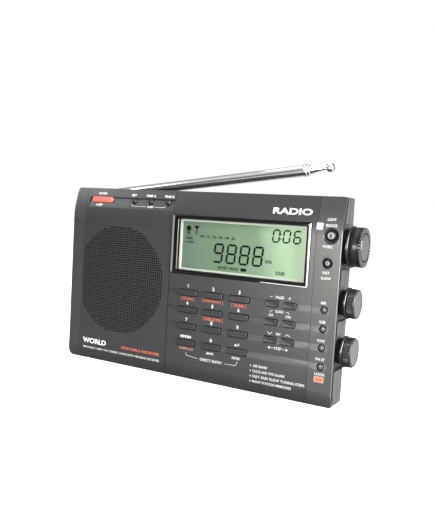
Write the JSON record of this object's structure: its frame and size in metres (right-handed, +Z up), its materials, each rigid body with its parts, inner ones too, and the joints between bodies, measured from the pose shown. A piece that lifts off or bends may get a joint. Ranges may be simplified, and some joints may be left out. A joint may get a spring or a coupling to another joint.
{
  "type": "portable world-band radio",
  "caption": "Portable table radio: flat upright case with round speaker field, wide display, rows of keys, side knobs, folding telescopic mast and rear kickstand.",
  "frame": {"origin": "middle of the flat base, at half the case depth", "axes": "+X to the listener's right along the case, +Y towards the back, +Z up"},
  "size_m": [0.1964, 0.0339, 0.1339],
  "materials": {
    "casing": "satin charcoal moulding with a fine texture",
    "panel": "satin charcoal front panel",
    "bezel": "polished black",
    "lens": "clear window",
    "lcd": "green backlit liquid crystal panel",
    "key": "dark satin key caps",
    "red_key": "smooth red",
    "knob": "satin grey moulding",
    "chrome": "bright chrome plate",
    "board": "green circuit board",
    "driver": "pressed steel basket",
    "cone": "black paper cone",
    "ferrite": "sintered rod",
    "cell": "wrapped dry cell",
    "socket": "black socket body"
  },
  "bodies": {
    "case": {"front_shell": "casing", "rear_shell": "casing", "speaker_panel": "panel", "control_panel": "panel", "display_bezel": "bezel", "display_lens": "lens", "lcd_module": "lcd", "encoder_board": "board", "speaker_driver": "driver", "speaker_cone": "cone", "main_board": "board", "ferrite_rod": "ferrite", "battery_1": "cell", "battery_2": "cell", "battery_3": "cell", "battery_4": "cell", "earphone_jack": "socket", "power_jack": "socket"},
    "turret": {"mast_turret": "chrome"},
    "mast_1": {"mast_tube_1": "chrome"},
    "mast_2": {"mast_tube_2": "chrome"},
    "mast_3": {"mast_tube_3": "chrome"},
    "mast_4": {"mast_tube_4": "chrome"},
    "mast_5": {"mast_tube_5": "chrome"},
    "mast_6": {"mast_tip": "chrome"},
    "stand": {"kickstand": "casing"},
    "door": {"battery_door": "casing"},
    "tuning": {"tuning_knob": "knob"},
    "fine_tuning": {"fine_tuning_knob": "knob"},
    "volume": {"volume_knob": "knob"},
    "gain": {"gain_switch": "key"},
    "tone": {"tone_switch": "key"},
    "power": {"power_button": "red_key"},
    "preset_1": {"preset_button_1": "key"},
    "preset_2": {"preset_button_2": "key"},
    "preset_3": {"preset_button_3": "key"},
    "light": {"light_button": "key"},
    "mode": {"mode_button": "key"},
    "air": {"air_button": "key"},
    "sideband": {"sideband_button": "key"},
    "sync": {"sync_button": "key"},
    "stereo": {"stereo_button": "key"},
    "digit_1": {"key_1_1": "key"},
    "digit_2": {"key_1_2": "key"},
    "digit_3": {"key_1_3": "key"},
    "digit_4": {"key_2_1": "key"},
    "digit_5": {"key_2_2": "key"},
    "digit_6": {"key_2_3": "key"},
    "digit_7": {"key_3_1": "key"},
    "digit_8": {"key_3_2": "key"},
    "digit_9": {"key_3_3": "key"},
    "memory": {"key_4_1": "key"},
    "digit_0": {"key_4_2": "key"},
    "delete": {"key_4_3": "key"},
    "page_down": {"function_key_1_1": "key"},
    "page_up": {"function_key_1_2": "key"},
    "am_band": {"function_key_2_1": "key"},
    "fm_band": {"function_key_2_2": "key"},
    "sw_down": {"function_key_3_1": "key"},
    "sw_up": {"function_key_3_2": "key"}
  },
  "joints": [
    {"name": "mast_swivel", "type": "hinge", "parent": "case", "child": "turret", "pos_m": [-0.085, 0.0085, 0.1108], "axis": [0, 0, 1], "range_deg": [0, 180]},
    {"name": "mast_elbow", "type": "hinge", "parent": "turret", "child": "mast_1", "pos_m": [-0.085, 0.0085, 0.1108], "axis": [0, -1, 0], "range_deg": [-7.2, 82.8]},
    {"name": "mast_extend_1", "type": "slide", "parent": "mast_1", "child": "mast_2", "axis": [0.9921, 0, 0.1257], "range_m": [0, 0.125]},
    {"name": "mast_extend_2", "type": "slide", "parent": "mast_2", "child": "mast_3", "axis": [0.9921, 0, 0.1257], "range_m": [0, 0.125]},
    {"name": "mast_extend_3", "type": "slide", "parent": "mast_3", "child": "mast_4", "axis": [0.9921, 0, 0.1257], "range_m": [0, 0.125]},
    {"name": "mast_extend_4", "type": "slide", "parent": "mast_4", "child": "mast_5", "axis": [0.9921, 0, 0.1257], "range_m": [0, 0.125]},
    {"name": "mast_extend_5", "type": "slide", "parent": "mast_5", "child": "mast_6", "axis": [0.9921, 0, 0.1257], "range_m": [0, 0.12]},
    {"name": "kickstand_fold", "type": "hinge", "parent": "case", "child": "stand", "pos_m": [-0.05, 0.015, 0.048], "axis": [1, 0, 0], "range_deg": [0, 62]},
    {"name": "battery_door_open", "type": "hinge", "parent": "case", "child": "door", "pos_m": [0.035, 0.016, 0.0069], "axis": [-1, 0, 0], "range_deg": [0, 95]},
    {"name": "tuning_turn", "type": "hinge", "parent": "case", "child": "tuning", "pos_m": [0.095, -0.0015, 0.0874], "axis": [1, 0, 0], "continuous": true},
    {"name": "fine_tuning_turn", "type": "hinge", "parent": "case", "child": "fine_tuning", "pos_m": [0.095, -0.0015, 0.0565], "axis": [1, 0, 0], "continuous": true},
    {"name": "volume_turn", "type": "hinge", "parent": "case", "child": "volume", "pos_m": [0.095, -0.0015, 0.0297], "axis": [1, 0, 0], "range_deg": [-150, 150]},
    {"name": "gain_slide", "type": "slide", "parent": "case", "child": "gain", "axis": [0, 0, 1], "range_m": [-0.0016, 0.0016]},
    {"name": "tone_slide", "type": "slide", "parent": "case", "child": "tone", "axis": [0, 0, 1], "range_m": [0, 0.003]},
    {"name": "power_press", "type": "slide", "parent": "case", "child": "power", "axis": [0, 1, 0], "range_m": [0, 0.0008], "stiffness_N_per_m": 400, "springref_m": -0.0005},
    {"name": "preset_1_press", "type": "slide", "parent": "case", "child": "preset_1", "axis": [0, 1, 0], "range_m": [0, 0.0008], "stiffness_N_per_m": 400, "springref_m": -0.0005},
    {"name": "preset_2_press", "type": "slide", "parent": "case", "child": "preset_2", "axis": [0, 1, 0], "range_m": [0, 0.0008], "stiffness_N_per_m": 400, "springref_m": -0.0005},
    {"name": "preset_3_press", "type": "slide", "parent": "case", "child": "preset_3", "axis": [0, 1, 0], "range_m": [0, 0.0008], "stiffness_N_per_m": 400, "springref_m": -0.0005},
    {"name": "light_press", "type": "slide", "parent": "case", "child": "light", "axis": [0, 1, 0], "range_m": [0, 0.0008], "stiffness_N_per_m": 400, "springref_m": -0.0005},
    {"name": "mode_press", "type": "slide", "parent": "case", "child": "mode", "axis": [0, 1, 0], "range_m": [0, 0.0008], "stiffness_N_per_m": 400, "springref_m": -0.0005},
    {"name": "air_press", "type": "slide", "parent": "case", "child": "air", "axis": [0, 1, 0], "range_m": [0, 0.0008], "stiffness_N_per_m": 400, "springref_m": -0.0005},
    {"name": "sideband_press", "type": "slide", "parent": "case", "child": "sideband", "axis": [0, 1, 0], "range_m": [0, 0.0008], "stiffness_N_per_m": 400, "springref_m": -0.0005},
    {"name": "sync_press", "type": "slide", "parent": "case", "child": "sync", "axis": [0, 1, 0], "range_m": [0, 0.0008], "stiffness_N_per_m": 400, "springref_m": -0.0005},
    {"name": "stereo_press", "type": "slide", "parent": "case", "child": "stereo", "axis": [0, 1, 0], "range_m": [0, 0.0008], "stiffness_N_per_m": 400, "springref_m": -0.0005},
    {"name": "digit_1_press", "type": "slide", "parent": "case", "child": "digit_1", "axis": [0, 1, 0], "range_m": [0, 0.0008], "stiffness_N_per_m": 400, "springref_m": -0.0005},
    {"name": "digit_2_press", "type": "slide", "parent": "case", "child": "digit_2", "axis": [0, 1, 0], "range_m": [0, 0.0008], "stiffness_N_per_m": 400, "springref_m": -0.0005},
    {"name": "digit_3_press", "type": "slide", "parent": "case", "child": "digit_3", "axis": [0, 1, 0], "range_m": [0, 0.0008], "stiffness_N_per_m": 400, "springref_m": -0.0005},
    {"name": "digit_4_press", "type": "slide", "parent": "case", "child": "digit_4", "axis": [0, 1, 0], "range_m": [0, 0.0008], "stiffness_N_per_m": 400, "springref_m": -0.0005},
    {"name": "digit_5_press", "type": "slide", "parent": "case", "child": "digit_5", "axis": [0, 1, 0], "range_m": [0, 0.0008], "stiffness_N_per_m": 400, "springref_m": -0.0005},
    {"name": "digit_6_press", "type": "slide", "parent": "case", "child": "digit_6", "axis": [0, 1, 0], "range_m": [0, 0.0008], "stiffness_N_per_m": 400, "springref_m": -0.0005},
    {"name": "digit_7_press", "type": "slide", "parent": "case", "child": "digit_7", "axis": [0, 1, 0], "range_m": [0, 0.0008], "stiffness_N_per_m": 400, "springref_m": -0.0005},
    {"name": "digit_8_press", "type": "slide", "parent": "case", "child": "digit_8", "axis": [0, 1, 0], "range_m": [0, 0.0008], "stiffness_N_per_m": 400, "springref_m": -0.0005},
    {"name": "digit_9_press", "type": "slide", "parent": "case", "child": "digit_9", "axis": [0, 1, 0], "range_m": [0, 0.0008], "stiffness_N_per_m": 400, "springref_m": -0.0005},
    {"name": "memory_press", "type": "slide", "parent": "case", "child": "memory", "axis": [0, 1, 0], "range_m": [0, 0.0008], "stiffness_N_per_m": 400, "springref_m": -0.0005},
    {"name": "digit_0_press", "type": "slide", "parent": "case", "child": "digit_0", "axis": [0, 1, 0], "range_m": [0, 0.0008], "stiffness_N_per_m": 400, "springref_m": -0.0005},
    {"name": "delete_press", "type": "slide", "parent": "case", "child": "delete", "axis": [0, 1, 0], "range_m": [0, 0.0008], "stiffness_N_per_m": 400, "springref_m": -0.0005},
    {"name": "page_down_press", "type": "slide", "parent": "case", "child": "page_down", "axis": [0, 1, 0], "range_m": [0, 0.0008], "stiffness_N_per_m": 400, "springref_m": -0.0005},
    {"name": "page_up_press", "type": "slide", "parent": "case", "child": "page_up", "axis": [0, 1, 0], "range_m": [0, 0.0008], "stiffness_N_per_m": 400, "springref_m": -0.0005},
    {"name": "am_band_press", "type": "slide", "parent": "case", "child": "am_band", "axis": [0, 1, 0], "range_m": [0, 0.0008], "stiffness_N_per_m": 400, "springref_m": -0.0005},
    {"name": "fm_band_press", "type": "slide", "parent": "case", "child": "fm_band", "axis": [0, 1, 0], "range_m": [0, 0.0008], "stiffness_N_per_m": 400, "springref_m": -0.0005},
    {"name": "sw_down_press", "type": "slide", "parent": "case", "child": "sw_down", "axis": [0, 1, 0], "range_m": [0, 0.0008], "stiffness_N_per_m": 400, "springref_m": -0.0005},
    {"name": "sw_up_press", "type": "slide", "parent": "case", "child": "sw_up", "axis": [0, 1, 0], "range_m": [0, 0.0008], "stiffness_N_per_m": 400, "springref_m": -0.0005}
  ]
}
